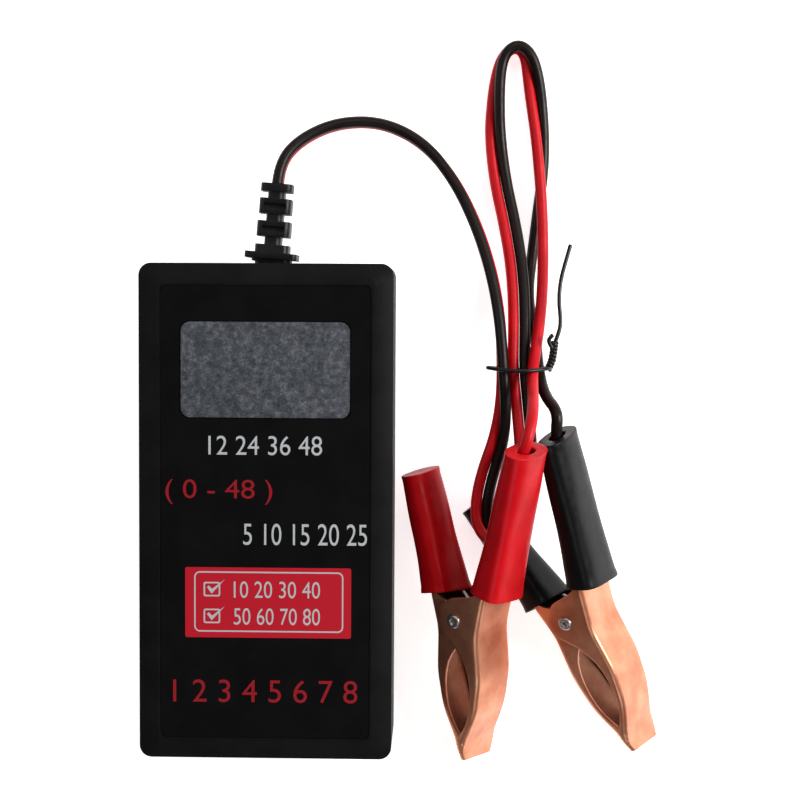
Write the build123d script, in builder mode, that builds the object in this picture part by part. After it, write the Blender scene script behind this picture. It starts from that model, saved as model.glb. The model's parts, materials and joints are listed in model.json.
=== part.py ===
from build123d import *
import os
from math import radians, sin, cos, tan, pi

# A handheld battery tester: a two-shell case with a display window, a segmented strain relief,
# a twin lead folded once and held by a twist tie, and a red and a black battery clip.
# X is across the case, Y runs from the case towards the strain relief, Z is up out of the front.
# The origin is the middle of the case's flat back.

os.makedirs("parts", exist_ok=True)

# ---- driving dimensions, millimetres ----
CASE_WIDTH = 62.0
CASE_LENGTH = 121.5
CASE_HEIGHT = 25.0
SPLIT_HEIGHT = 12.0
CASE_CORNER = 3.0
WALL = 2.0
FACE_THICKNESS = 1.8
BEVEL_RUN = 4.6
BEVEL_DROP = 1.4
FACE_CORNER = 0.9
LIP_HEIGHT = 1.4
LIP_WALL = 0.9
SEAM_CHAMFER = 0.35
FIT = 0.15

LABEL_MARGIN = 0.9
LABEL_THICKNESS = 0.3
LABEL_RECESS = 0.35
LABEL_CORNER = 1.5

WINDOW_WIDTH = 41.4
WINDOW_HEIGHT = 23.4
WINDOW_Y = 34.9
WINDOW_CORNER = 2.4
WINDOW_FLANGE = 2.2
FLANGE_THICKNESS = 0.8

BOSS_X_MARGIN = 6.5
BOSS_Y_MARGIN = 7.5
BOSS_RADIUS = 3.0
SCREW_SHANK = 1.25
SCREW_HEAD = 2.5
SCREW_HEAD_HEIGHT = 1.6
SCREW_HEAD_DEPTH = 3.0
SCREW_GRIP = 7.0

BOARD_WIDTH = 42.0
BOARD_LENGTH = 88.0
BOARD_THICKNESS = 1.6
BOARD_Y = 10.2
BOARD_POST_MARGIN = 3.0
BOARD_POST_RADIUS = 2.2
BOARD_SCREW_RADIUS = 0.9
WIRE_NOTCH = (9.0, 10.0)
TERMINAL_RADIUS = 1.7
TERMINAL_HEIGHT = 2.6
DISPLAY_LENGTH = 19.0
DISPLAY_WIDTH = 36.0
DISPLAY_HEIGHT = 6.4

RELIEF_X = 0.3
RELIEF_HEIGHT = 12.5
RELIEF_LEAN = 4.5
RELIEF_LENGTH = 19.9
RELIEF_WIDTH = 8.2
RELIEF_CORE = 4.1
RELIEF_NECK = 8.4
RELIEF_FLANGE = 12.8
RELIEF_FOOT_WIDTH = 11.0
RELIEF_FOOT_DEPTH = 9.0
RELIEF_STANDOFF = 0.6

WIRE = 2.8
TWIN_HALF_GAP = 1.65

TIE_WIRE = 1.0
TIE_Y = 35.2
TIE_CENTRE = (61.85, 16.0)
TIE_OPENING = (14.1, 8.2)
TIE_CORNER = 3.5

STEEL = 0.9
CLIP_WIDTH = 14.0
CLIP_SIDE_GAP = 0.12
JAW_REACH = 37.6
JAW_GAP = 0.3
NECK_OUT = 6.5
BULGE_OUT = 6.9
TEARDROP_HALF = 4.3
RIVET_RADIUS = 1.3
RIVET_HEAD = 1.8
RIVET_HEAD_HEIGHT = 0.7
RIVET_FIT = 0.05
EAR_RADIUS = 5.3
HANDLE_START = 5.0
HANDLE_OFFSET = 7.6
HANDLE_ANGLE = 13.9
TANG_END = 31.0
FREE_SLEEVE_END = 34.2
LEAD_SLEEVE_END = 44.5
SLEEVE_WALL = 0.9
SLEEVE_DEPTH = 8.6
SLEEVE_DEPTH_OUT = 7.2
LEAD_SLEEVE_START = 6.6
FREE_SLEEVE_START = 4.2
SPRING_WIRE = 1.1
SPRING_RADIUS = 3.0
SPRING_TURNS = 4
SPRING_LEG_END = 17.0
SPRING_GAP = 0.05
SPRING_BITE = 0.05
CRIMP_LENGTH = 5.0
CRIMP_OVERLAP = 1.5
CRIMP_SINK = 1.75
LEAD_GAP = 0.15

# Where each clip lies: rivet centre, swing in plan, dip of the jaws, and roll about its own length.
CLIPS = {
    "red": {"rivet": (50.5, -25.4, 16.4), "swing": 1.9, "dip": 11.0, "roll": 38.0},
    "black": {"rivet": (77.6, -25.6, 10.95), "swing": 26.2, "dip": 4.8, "roll": 38.0},
}

# The twin lead from the strain relief to where its two wires part: x, y, z and roll in degrees.
# At roll 0 the red wire lies on the right of the direction of travel, at 90 it lies on top.
TWIN_ROUTE = [
    (2.3, 86.0, 12.3, -90),
    (7.5, 92.0, 10.5, -90),
    (16.5, 96.3, 8.5, -88),
    (27.5, 96.6, 7.2, -86),
    (38.0, 91.5, 7.2, -80),
    (45.8, 82.0, 8.0, -75),
    (51.2, 71.0, 9.2, -70),
    (55.0, 59.5, 11.0, -65),
    (57.2, 47.5, 13.6, -60),
    (57.9, 35.2, 15.9, -58),
    (58.1, 26.0, 15.9, -56),
    (57.1, 17.5, 14.8, -30),
    (54.6, 10.0, 14.2, -5),
    (53.0, 3.0, 14.1, 0),
    (52.9, -2.8, 14.1, 15),
    (54.4, -6.3, 14.8, 50),
    (57.7, -7.9, 16.0, 90),
    (61.0, -6.3, 17.7, 130),
    (62.5, -2.8, 18.9, 165),
    (63.0, 4.0, 20.2, 175),
    (63.8, 14.0, 19.2, 180),
    (63.0, 24.5, 15.0, 180),
    (61.8, 35.2, 14.4, 180),
    (62.1, 47.0, 11.2, 180),
    (61.7, 59.0, 8.0, 180),
    (59.8, 71.0, 5.2, 180),
    (57.3, 82.0, 3.5, 185),
    (55.8, 94.0, 2.7, 205),
    (56.0, 103.5, 3.2, 235),
    (56.6, 109.4, 3.3, 252),
    (57.7, 113.4, 3.3, 262),
    (59.9, 115.8, 3.3, 270),
    (62.3, 115.8, 3.3, 282),
    (64.2, 113.4, 3.3, 302),
    (65.2, 109.2, 3.2, 330),
    (66.1, 103.3, 3.0, 372),
    (67.2, 94.0, 3.2, 400),
    (67.6, 85.0, 3.8, 425),
]
RED_TAIL = [
    (67.8, 75.0, 6.0),
    (68.1, 60.0, 8.3),
    (67.2, 47.0, 12.4),
    (65.1, 35.2, 17.3),
    (64.9, 31.2, 22.3),
    (64.7, 27.2, 29.4),
    (64.0, 22.6, 34.0),
]
BLACK_TAIL = [
    (67.0, 75.5, 1.8),
    (65.6, 64.0, 2.4),
    (64.2, 53.0, 5.8),
    (66.2, 43.5, 9.8),
    (66.7, 35.2, 14.3),
    (67.9, 29.0, 19.5),
    (70.9, 25.3, 26.2),
]

# ---- derived sizes ----
inner_width = CASE_WIDTH - 2 * WALL
inner_length = CASE_LENGTH - 2 * WALL
ceiling = CASE_HEIGHT - FACE_THICKNESS
boss_x = CASE_WIDTH / 2 - BOSS_X_MARGIN
boss_y = CASE_LENGTH / 2 - BOSS_Y_MARGIN
boss_spots = [(x, y) for x in (-boss_x, boss_x) for y in (-boss_y, boss_y)]
face_width = CASE_WIDTH - 2 * BEVEL_RUN
face_length = CASE_LENGTH - 2 * BEVEL_RUN
label_width = face_width - 2 * LABEL_MARGIN
label_length = face_length - 2 * LABEL_MARGIN
board_top = ceiling - FLANGE_THICKNESS - DISPLAY_HEIGHT - 0.2
board_bottom = board_top - BOARD_THICKNESS
board_post_x = BOARD_WIDTH / 2 - BOARD_POST_MARGIN
board_post_y = BOARD_LENGTH / 2 - BOARD_POST_MARGIN
board_posts = [(x, BOARD_Y + y) for x in (-board_post_x, board_post_x) for y in (-board_post_y, board_post_y)]
board_notch_end = BOARD_Y + BOARD_LENGTH / 2 - WIRE_NOTCH[1] / 2
slope = tan(radians(HANDLE_ANGLE))


def save(piece, name):
    """Label a finished piece and write it as a STEP file."""
    piece.part.label = name
    export_step(piece.part, f"parts/{name}.step")


# ---- case shells ----
with BuildPart() as back_shell:
    with BuildSketch():
        RectangleRounded(CASE_WIDTH, CASE_LENGTH, CASE_CORNER)
    extrude(amount=SPLIT_HEIGHT)
    chamfer(back_shell.edges().group_by(Axis.Z)[-1], SEAM_CHAMFER)
    fillet(back_shell.edges().group_by(Axis.Z)[0], 0.8)
    with BuildSketch(Plane.XY.offset(WALL)):
        RectangleRounded(inner_width, inner_length, CASE_CORNER - WALL + 0.4)
    extrude(amount=SPLIT_HEIGHT, mode=Mode.SUBTRACT)
    with BuildSketch(Plane.XY.offset(SPLIT_HEIGHT - LIP_HEIGHT)):
        RectangleRounded(inner_width, inner_length, CASE_CORNER - WALL + 0.4)
        inner_lip_width = inner_width - 2 * LIP_WALL
        inner_lip_length = inner_length - 2 * LIP_WALL
        RectangleRounded(inner_lip_width, inner_lip_length, 0.6, mode=Mode.SUBTRACT)
    extrude(amount=2 * LIP_HEIGHT - FIT)
    with BuildSketch(Plane.XY.offset(WALL / 2)):
        with Locations(boss_spots):
            Circle(BOSS_RADIUS + 0.6)
    extrude(amount=SPLIT_HEIGHT - WALL / 2 - 0.2)
    with BuildSketch():
        with Locations(boss_spots):
            Circle(SCREW_HEAD + 0.2)
    extrude(amount=SCREW_HEAD_DEPTH + SCREW_HEAD_HEIGHT, mode=Mode.SUBTRACT)
    with BuildSketch():
        with Locations(boss_spots):
            Circle(SCREW_SHANK + 0.2)
    extrude(amount=SPLIT_HEIGHT, mode=Mode.SUBTRACT)
    relief_wall = Plane(origin=(RELIEF_X, CASE_LENGTH / 2 - 2 * WALL, RELIEF_HEIGHT), z_dir=(0, 1, 0))
    with BuildSketch(relief_wall):
        Circle(RELIEF_NECK / 2 + 0.1)
    extrude(amount=3 * WALL, mode=Mode.SUBTRACT)
    with BuildSketch(Plane(origin=(RELIEF_X, CASE_LENGTH / 2 - WALL, RELIEF_HEIGHT), z_dir=(0, 1, 0))):
        Rectangle(RELIEF_FOOT_WIDTH + 2 * FIT, RELIEF_FOOT_DEPTH + 2 * FIT)
    extrude(amount=-2 * LIP_WALL, mode=Mode.SUBTRACT)

with BuildPart() as front_shell:
    with BuildSketch(Plane.XY.offset(SPLIT_HEIGHT)):
        RectangleRounded(CASE_WIDTH, CASE_LENGTH, CASE_CORNER)
    extrude(amount=CASE_HEIGHT - BEVEL_DROP - SPLIT_HEIGHT)
    chamfer(front_shell.edges().group_by(Axis.Z)[0], SEAM_CHAMFER)
    with BuildSketch(Plane.XY.offset(CASE_HEIGHT - BEVEL_DROP)):
        RectangleRounded(CASE_WIDTH, CASE_LENGTH, CASE_CORNER)
    with BuildSketch(Plane.XY.offset(CASE_HEIGHT)):
        RectangleRounded(face_width, face_length, FACE_CORNER)
    loft()
    with BuildSketch(Plane.XY.offset(SPLIT_HEIGHT)):
        RectangleRounded(inner_width, inner_length, CASE_CORNER - WALL + 0.4)
    extrude(amount=ceiling - SPLIT_HEIGHT, mode=Mode.SUBTRACT)
    with BuildSketch(Plane.XY.offset(SPLIT_HEIGHT)):
        RectangleRounded(inner_width + 2 * FIT, inner_length + 2 * FIT, CASE_CORNER - WALL + 0.5)
    extrude(amount=LIP_HEIGHT, mode=Mode.SUBTRACT)
    with BuildSketch(Plane.XY.offset(SPLIT_HEIGHT)):
        with Locations(boss_spots):
            Circle(BOSS_RADIUS)
    extrude(amount=ceiling - SPLIT_HEIGHT + 0.5)
    with BuildSketch(Plane.XY.offset(board_top)):
        with Locations(board_posts):
            Circle(BOARD_POST_RADIUS)
    extrude(amount=ceiling - board_top + 0.5)
    with BuildSketch(Plane.XY.offset(board_top)):
        with Locations(board_posts):
            Circle(BOARD_SCREW_RADIUS)
    extrude(amount=ceiling - board_top - 1.0, mode=Mode.SUBTRACT)
    with BuildSketch(Plane.XY.offset(SPLIT_HEIGHT)):
        with Locations(boss_spots):
            Circle(SCREW_SHANK)
    extrude(amount=SCREW_GRIP + 0.6, mode=Mode.SUBTRACT)
    with BuildSketch(Plane.XY.offset(CASE_HEIGHT)):
        RectangleRounded(label_width + 2 * FIT, label_length + 2 * FIT, LABEL_CORNER)
    extrude(amount=-LABEL_RECESS, mode=Mode.SUBTRACT)
    with BuildSketch(Plane.XY.offset(CASE_HEIGHT)):
        with Locations((0, WINDOW_Y)):
            RectangleRounded(WINDOW_WIDTH + 2 * FIT, WINDOW_HEIGHT + 2 * FIT, WINDOW_CORNER)
    extrude(amount=-FACE_THICKNESS - 0.2, mode=Mode.SUBTRACT)
    with BuildSketch(relief_wall):
        Circle(RELIEF_NECK / 2 + 0.1)
    extrude(amount=3 * WALL, mode=Mode.SUBTRACT)

with BuildPart() as front_label:
    with BuildSketch(Plane.XY.offset(CASE_HEIGHT - LABEL_RECESS)):
        RectangleRounded(label_width, label_length, LABEL_CORNER)
        with Locations((0, WINDOW_Y)):
            RectangleRounded(WINDOW_WIDTH + 2 * FIT, WINDOW_HEIGHT + 2 * FIT, WINDOW_CORNER, mode=Mode.SUBTRACT)
    extrude(amount=LABEL_THICKNESS)

with BuildPart() as display_window:
    with BuildSketch(Plane.XY.offset(ceiling)):
        with Locations((0, WINDOW_Y)):
            RectangleRounded(WINDOW_WIDTH, WINDOW_HEIGHT, WINDOW_CORNER)
    extrude(amount=FACE_THICKNESS - LABEL_RECESS)
    with BuildSketch(Plane.XY.offset(ceiling - FLANGE_THICKNESS)):
        with Locations((0, WINDOW_Y)):
            RectangleRounded(WINDOW_WIDTH + 2 * WINDOW_FLANGE, WINDOW_HEIGHT + 2 * WINDOW_FLANGE, 1.5)
    extrude(amount=FLANGE_THICKNESS)

# ---- electronics ----
with BuildPart() as circuit_board:
    with BuildSketch(Plane.XY.offset(board_bottom)):
        with Locations((0, BOARD_Y)):
            RectangleRounded(BOARD_WIDTH, BOARD_LENGTH, 1.5)
        with Locations(board_posts):
            Circle(BOARD_SCREW_RADIUS + 0.1, mode=Mode.SUBTRACT)
        with Locations((RELIEF_X, BOARD_Y + BOARD_LENGTH / 2)):
            Rectangle(*WIRE_NOTCH, mode=Mode.SUBTRACT)
    extrude(amount=BOARD_THICKNESS)

with BuildPart() as display_module:
    with BuildSketch(Plane.XY.offset(board_top)):
        with Locations((0, WINDOW_Y)):
            Rectangle(DISPLAY_WIDTH, DISPLAY_LENGTH)
    extrude(amount=DISPLAY_HEIGHT)
    fillet(display_module.edges().group_by(Axis.Z)[-1], 0.3)

CHIP_X = -9.0
CHIP_Y = 4.0
CHIP_SIZE = (10.0, 7.5, 2.2)
with BuildPart() as control_chip:
    with BuildSketch(Plane.XY.offset(board_bottom)):
        with Locations((CHIP_X, CHIP_Y)):
            Rectangle(CHIP_SIZE[0], CHIP_SIZE[1])
    extrude(amount=-CHIP_SIZE[2])
    with BuildSketch(Plane.XY.offset(board_bottom)):
        with Locations((CHIP_X, CHIP_Y)):
            with GridLocations(1.27, CHIP_SIZE[1] + 1.6, 7, 2):
                Rectangle(0.5, 2.0)
    extrude(amount=-0.9)

with BuildPart() as voltage_regulator:
    with BuildSketch(Plane.XY.offset(board_bottom)):
        with Locations((13.0, 20.0)):
            Rectangle(6.6, 6.1)
    extrude(amount=-2.3)
    with BuildSketch(Plane.XY.offset(board_bottom)):
        with Locations((13.0, 24.0)):
            Rectangle(5.3, 3.0)
    extrude(amount=-0.6)

CAPACITOR_RADIUS = 4.0
with BuildPart() as filter_capacitor:
    with BuildSketch(Plane.XY.offset(board_bottom)):
        with Locations((13.0, 7.0)):
            Circle(CAPACITOR_RADIUS)
    extrude(amount=-9.0)
    fillet(filter_capacitor.edges().group_by(Axis.Z)[0], 0.5)

with BuildPart() as load_resistors:
    with BuildSketch(Plane.XY.offset(board_bottom)):
        with Locations((-14.0, -14.0), (0.0, -14.0), (14.0, -14.0)):
            Rectangle(8.0, 22.0)
    extrude(amount=-7.0)
    fillet(load_resistors.edges().filter_by(Axis.Y), 0.6)

with BuildPart() as protection_diode:
    diode_axis = Plane(origin=(-14.5, 30.0, board_bottom - 1.35), z_dir=(0, 1, 0))
    with BuildSketch(diode_axis):
        Circle(1.35)
    extrude(amount=5.2)

terminal_spots = [(-3.0, 43.0), (4.0, 43.0)]
with BuildPart() as solder_terminals:
    with BuildSketch(Plane.XY.offset(board_bottom)):
        with Locations(terminal_spots):
            Circle(TERMINAL_RADIUS)
    extrude(amount=-TERMINAL_HEIGHT)

with BuildPart() as board_screws:
    with BuildSketch(Plane.XY.offset(board_bottom - 1.2)):
        with Locations(board_posts):
            Circle(1.8)
    extrude(amount=1.2)
    with BuildSketch(Plane.XY.offset(board_bottom)):
        with Locations(board_posts):
            Circle(BOARD_SCREW_RADIUS)
    extrude(amount=BOARD_THICKNESS + 3.0)

with BuildPart() as case_screws:
    head_floor = SCREW_HEAD_DEPTH
    with BuildSketch(Plane.XY.offset(head_floor)):
        with Locations(boss_spots):
            Circle(SCREW_HEAD)
    extrude(amount=SCREW_HEAD_HEIGHT)
    with BuildSketch(Plane.XY.offset(head_floor)):
        with Locations(boss_spots):
            Circle(SCREW_SHANK)
    extrude(amount=SPLIT_HEIGHT - head_floor + SCREW_GRIP)
    with BuildSketch(Plane.XY.offset(head_floor)):
        with Locations(boss_spots):
            Rectangle(2.6, 0.5)
            Rectangle(0.5, 2.6)
    extrude(amount=0.8, mode=Mode.SUBTRACT)

# ---- strain relief ----
lean = radians(RELIEF_LEAN)
relief_axis = Vector(sin(lean), cos(lean), 0)
relief_base = Vector(RELIEF_X, CASE_LENGTH / 2, RELIEF_HEIGHT)
relief_tip = relief_base + relief_axis * RELIEF_LENGTH


def relief_plane(distance):
    """A plane across the strain relief, that far out from the case wall, with its X across the case."""
    across = Vector(cos(lean), -sin(lean), 0)
    return Plane(origin=relief_base + relief_axis * distance, x_dir=across, z_dir=relief_axis)


# Each section: where it starts, its length, its width, its depth and its corner.
RELIEF_SECTIONS = [
    (RELIEF_STANDOFF, 1.4 - RELIEF_STANDOFF, 9.6, 9.2, 2.0),
    (1.3, 1.5, RELIEF_FLANGE, 11.0, 1.2),
    (2.7, 2.1, RELIEF_WIDTH + 0.2, 8.2, 1.6),
    (4.7, 2.2, RELIEF_CORE, 7.0, 1.4),
    (6.8, 3.8, RELIEF_WIDTH, 8.0, 1.6),
    (10.5, 2.0, RELIEF_CORE, 6.8, 1.4),
    (12.4, 3.8, RELIEF_WIDTH - 0.3, 7.7, 1.6),
    (16.1, 1.9, RELIEF_CORE, 6.4, 1.4),
    (17.9, RELIEF_LENGTH - 17.9, RELIEF_WIDTH - 0.4, 7.4, 1.6),
]
RELIEF_SLOTS = (8.7, 14.3)

with BuildPart() as strain_relief:
    for start, length, width, depth, corner in RELIEF_SECTIONS:
        with BuildSketch(relief_plane(start)):
            RectangleRounded(width, depth, corner)
        extrude(amount=length)
    for middle in RELIEF_SLOTS:
        with BuildSketch(relief_plane(middle - 0.65)):
            Rectangle(RELIEF_WIDTH - 2.6, RELIEF_WIDTH + 2)
            Rectangle(RELIEF_WIDTH - 2.6, RELIEF_CORE + 1.6, mode=Mode.SUBTRACT)
        extrude(amount=1.3, mode=Mode.SUBTRACT)
    neck_plane = Plane(origin=(RELIEF_X, CASE_LENGTH / 2 - WALL - 0.1, RELIEF_HEIGHT), z_dir=(0, 1, 0))
    with BuildSketch(neck_plane):
        Circle(RELIEF_NECK / 2)
    extrude(amount=WALL + 1.0)
    with BuildSketch(neck_plane):
        RectangleRounded(RELIEF_FOOT_WIDTH, RELIEF_FOOT_DEPTH, 1.0)
    extrude(amount=-1.6)
    for side in (-1, 1):
        bore = Plane(origin=neck_plane.origin + Vector(0, -2, side * TWIN_HALF_GAP), z_dir=(0, 1, 0))
        with BuildSketch(bore):
            Circle(WIRE / 2 + 0.05)
        extrude(amount=3.5, mode=Mode.SUBTRACT)


# ---- twin lead ----
def lead_path(points):
    """Straight runs joined by tangent arcs, each as large as its two runs allow."""
    points = [Vector(*p) for p in points]
    radii = []
    for before, here, after in zip(points, points[1:], points[2:]):
        turn = (here - before).get_angle(after - here)
        shorter = min((here - before).length, (after - here).length)
        radii.append(0.45 * shorter / tan(radians(turn) / 2))
    with BuildLine() as path:
        FilletPolyline(*points, radius=radii)
    print("radii", [round(r, 1) for r in radii])
    return path


def wire_points(side):
    """The twin route moved to one wire: side is 1 for red and -1 for black."""
    route = [Vector(*p[:3]) for p in TWIN_ROUTE]
    first = relief_tip + relief_axis * LEAD_GAP
    neighbours = [first] + route
    moved = [first + Vector(0, 0, -side * TWIN_HALF_GAP)]
    for i, centre in enumerate(route):
        after = route[min(i + 1, len(route) - 1)]
        travel = (after - neighbours[i]).normalized()
        right = travel.cross(Vector(0, 0, 1)).normalized()
        roll = radians(TWIN_ROUTE[i][3])
        above = right.cross(travel).normalized()
        moved.append(centre + (right * cos(roll) + above * sin(roll)) * TWIN_HALF_GAP * side)
    return moved


def wire(points):
    """A round wire along a route."""
    path = lead_path(points)
    with BuildPart() as piece:
        with BuildSketch(Plane(origin=path.line @ 0, z_dir=path.line % 0)):
            Circle(WIRE / 2)
        sweep(path=path.line)
    length = path.wires()[0].length
    expected = length * pi * (WIRE / 2) ** 2
    print("length", round(length, 1), "volume ratio", round(piece.part.volume / expected, 4))
    return piece


def clip_plane(name):
    """A clip's own frame: X is the way the handles spread, Y runs from the rivet to the handles, Z is the rivet."""
    place = CLIPS[name]
    swing = radians(place["swing"])
    dip = radians(place["dip"])
    roll = radians(place["roll"])
    forward = Vector(sin(swing) * cos(dip), -cos(swing) * cos(dip), -sin(dip))
    side = Vector(cos(swing), sin(swing), 0)
    upward = forward.cross(side)
    spread = side * cos(roll) + upward * sin(roll)
    rivet = upward * cos(roll) - side * sin(roll)
    return Plane(origin=place["rivet"], x_dir=spread, z_dir=rivet)


def in_clip(frame, point):
    """A point of a clip's own frame, in the part's frame."""
    x, y, z = point
    return frame.origin + frame.x_dir * x + frame.y_dir * y + frame.z_dir * z


def handle_x(y):
    """How far out the middle of a handle lies, that far from the rivet."""
    return HANDLE_OFFSET + (y - HANDLE_START) * slope


def handle_section(frame, y, side):
    """A plane across a handle, with X out from the clip and Y along the rivet."""
    angle = radians(HANDLE_ANGLE)
    along = frame.x_dir * side * sin(angle) + frame.y_dir * cos(angle)
    outward = frame.x_dir * side * cos(angle) - frame.y_dir * sin(angle)
    return Plane(origin=in_clip(frame, (side * handle_x(y), y, 0)), x_dir=outward, z_dir=along)


def clip_half(frame, side, width, start):
    """One stamped half: a strap from the handle to the jaw tip, with two side plates."""
    tang_x = handle_x(TANG_END)
    strap_middle = [
        (side * (tang_x + 0.3), TANG_END),
        (side * (handle_x(4.0) + 0.3), 4.0),
        (side * (NECK_OUT - STEEL / 2 - 0.1), -3.5),
        (side * (BULGE_OUT - STEEL / 2 + 0.2), -15.0),
        (side * (BULGE_OUT - STEEL / 2 - 1.2), -24.0),
        (side * (JAW_GAP / 2 + STEEL / 2), -JAW_REACH),
    ]
    shoulder = (side * (handle_x(start) + 0.3), start - 0.35)
    notch = (side * 4.4, start + 0.5)
    with BuildPart() as half:
        with BuildSketch(frame.offset(-width / 2)):
            with BuildLine() as middle:
                FilletPolyline(*strap_middle, radius=(14, 12, 16, 14))
            trace(line_width=STEEL)
        extrude(amount=width)
        # the strap narrows along the handle
        for edge in (-1, 1):
            low = edge * width / 2
            narrow = edge * (width / 2 - 3.4)
            far = TANG_END + 6
            wedge = [(start, low), (far, narrow), (far, low + edge * 3), (start, low + edge * 3)]
            along_rivet = Plane(origin=in_clip(frame, (-30, 0, 0)), x_dir=frame.y_dir, z_dir=frame.x_dir)
            with BuildSketch(along_rivet):
                with BuildLine():
                    Polyline(*wedge, close=True)
                make_face()
            extrude(amount=60, mode=Mode.SUBTRACT)
        for level in (-width / 2, width / 2 - STEEL):
            with BuildSketch(frame.offset(level)):
                with BuildLine():
                    brow = Line(shoulder, notch)
                    top = ThreePointArc(brow @ 1, (side * 0.8, start - 1.1), (-side * 3.2, 4.2))
                    ear = ThreePointArc(top @ 1, (-side * EAR_RADIUS, 0), (-side * 3.2, -4.6))
                    lower = Line(ear @ 1, (0, -7.0))
                    curve = Spline(
                        lower @ 1,
                        (side * (TEARDROP_HALF - 1.2), -12.0),
                        (side * TEARDROP_HALF, -18.5),
                        (side * (TEARDROP_HALF - 0.6), -24.0),
                        (side * 0.9, -31.0),
                    )
                    tip = Line(curve @ 1, (side * JAW_GAP / 2, -JAW_REACH + 2.5))
                    end = Line(tip @ 1, (side * JAW_GAP / 2, -JAW_REACH))
                    back = FilletPolyline(
                        end @ 1,
                        (side * (JAW_GAP / 2 + STEEL / 2), -JAW_REACH),
                        *reversed(strap_middle[2:-1]),
                        shoulder,
                        radius=(0.05, 14, 16, 12),
                    )
                make_face()
            extrude(amount=STEEL)
        with BuildSketch(frame.offset(-width)):
            Circle(RIVET_RADIUS + RIVET_FIT)
        extrude(amount=2 * width, mode=Mode.SUBTRACT)
    return half


def sleeve(frame, side, start, end, inner_width):
    """A soft sleeve on a handle: an oval tube that narrows outwards, open at both ends."""
    sizes = [
        (start, SLEEVE_DEPTH, inner_width + 0.5),
        (end, SLEEVE_DEPTH_OUT, inner_width - 4.4),
    ]
    with BuildPart() as tube:
        for y, depth, breadth in sizes:
            with BuildSketch(handle_section(frame, y, side)):
                Ellipse(depth / 2 + SLEEVE_WALL, breadth / 2 + SLEEVE_WALL)
        loft()
        for y, depth, breadth in sizes:
            with BuildSketch(handle_section(frame, y, side)):
                Ellipse(depth / 2, breadth / 2)
        loft(mode=Mode.SUBTRACT)
    return tube


def rivet(frame, width):
    """A hollow rivet with a domed head on each side."""
    with BuildPart() as pin:
        with BuildSketch(frame.offset(-width / 2 - 0.3)):
            Circle(RIVET_RADIUS)
        extrude(amount=width + 0.6)
        for face in (-1, 1):
            head_plane = frame.offset(face * width / 2)
            with BuildSketch(head_plane):
                Circle(RIVET_HEAD)
            with BuildSketch(head_plane.offset(face * RIVET_HEAD_HEIGHT)):
                Circle(RIVET_HEAD * 0.7)
            loft()
        with BuildSketch(frame.offset(-width)):
            Circle(0.55)
        extrude(amount=2 * width, mode=Mode.SUBTRACT)
    return pin


def spring(frame, side, turns):
    """Some turns of the torsion spring round the rivet, and the leg that lies along that side's handle."""
    pitch = SPRING_WIRE + SPRING_GAP
    outer = side * pitch * (SPRING_TURNS - 1) / 2
    levels = [outer - side * turn * (SPRING_WIRE - SPRING_BITE) for turn in range(turns)]
    with BuildPart() as coil:
        middle = Plane(origin=frame.origin, x_dir=frame.x_dir, z_dir=-frame.y_dir)
        with BuildSketch(middle):
            for level in levels:
                with Locations((SPRING_RADIUS, level)):
                    Circle(SPRING_WIRE / 2)
        revolve(axis=Axis(frame.origin, frame.z_dir))
        foot = in_clip(frame, (side * SPRING_RADIUS, 0.5, outer))
        toe = in_clip(frame, (side * (handle_x(SPRING_LEG_END) - 0.8), SPRING_LEG_END, outer))
        with BuildSketch(Plane(origin=foot, z_dir=toe - foot)):
            Circle(SPRING_WIRE / 2)
        extrude(amount=(toe - foot).length)
    return coil


def crimp(frame):
    """The barrel at the end of the upper handle that grips the lead."""
    with BuildPart() as barrel:
        with BuildSketch(handle_section(frame, TANG_END - CRIMP_OVERLAP, 1)):
            with Locations((-CRIMP_SINK, 0)):
                Circle(WIRE / 2 + 0.1)
        extrude(amount=CRIMP_LENGTH)
    return barrel


free_width = CLIP_WIDTH - 2 * (STEEL + CLIP_SIDE_GAP)
clip_pieces = {}
for colour in CLIPS:
    frame = clip_plane(colour)
    clip_pieces[f"{colour}_clip_lead_half"] = clip_half(frame, 1, CLIP_WIDTH, LEAD_SLEEVE_START)
    clip_pieces[f"{colour}_clip_free_half"] = clip_half(frame, -1, free_width, FREE_SLEEVE_START)
    clip_pieces[f"{colour}_clip_lead_sleeve"] = sleeve(frame, 1, LEAD_SLEEVE_START, LEAD_SLEEVE_END, CLIP_WIDTH)
    clip_pieces[f"{colour}_clip_free_sleeve"] = sleeve(frame, -1, FREE_SLEEVE_START, FREE_SLEEVE_END, free_width)
    clip_pieces[f"{colour}_clip_rivet"] = rivet(frame, CLIP_WIDTH)
    clip_pieces[f"{colour}_clip_spring"] = spring(frame, 1, SPRING_TURNS - 1)
    clip_pieces[f"{colour}_clip_spring_end"] = spring(frame, -1, 1)
    clip_pieces[f"{colour}_clip_crimp"] = crimp(frame)

lead_ends = {}
for colour in CLIPS:
    frame = clip_plane(colour)
    crimp_face = handle_section(frame, TANG_END - CRIMP_OVERLAP, 1).offset(CRIMP_LENGTH + 2 * LEAD_GAP)
    mouth = handle_section(frame, LEAD_SLEEVE_END, 1)
    lead_ends[colour] = [
        mouth.origin - mouth.x_dir * 0.4,
        crimp_face.origin - crimp_face.x_dir * CRIMP_SINK,
    ]

red_lead = wire(wire_points(1) + [Vector(*p) for p in RED_TAIL] + lead_ends["red"])
black_lead = wire(wire_points(-1) + [Vector(*p) for p in BLACK_TAIL] + lead_ends["black"])

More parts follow.
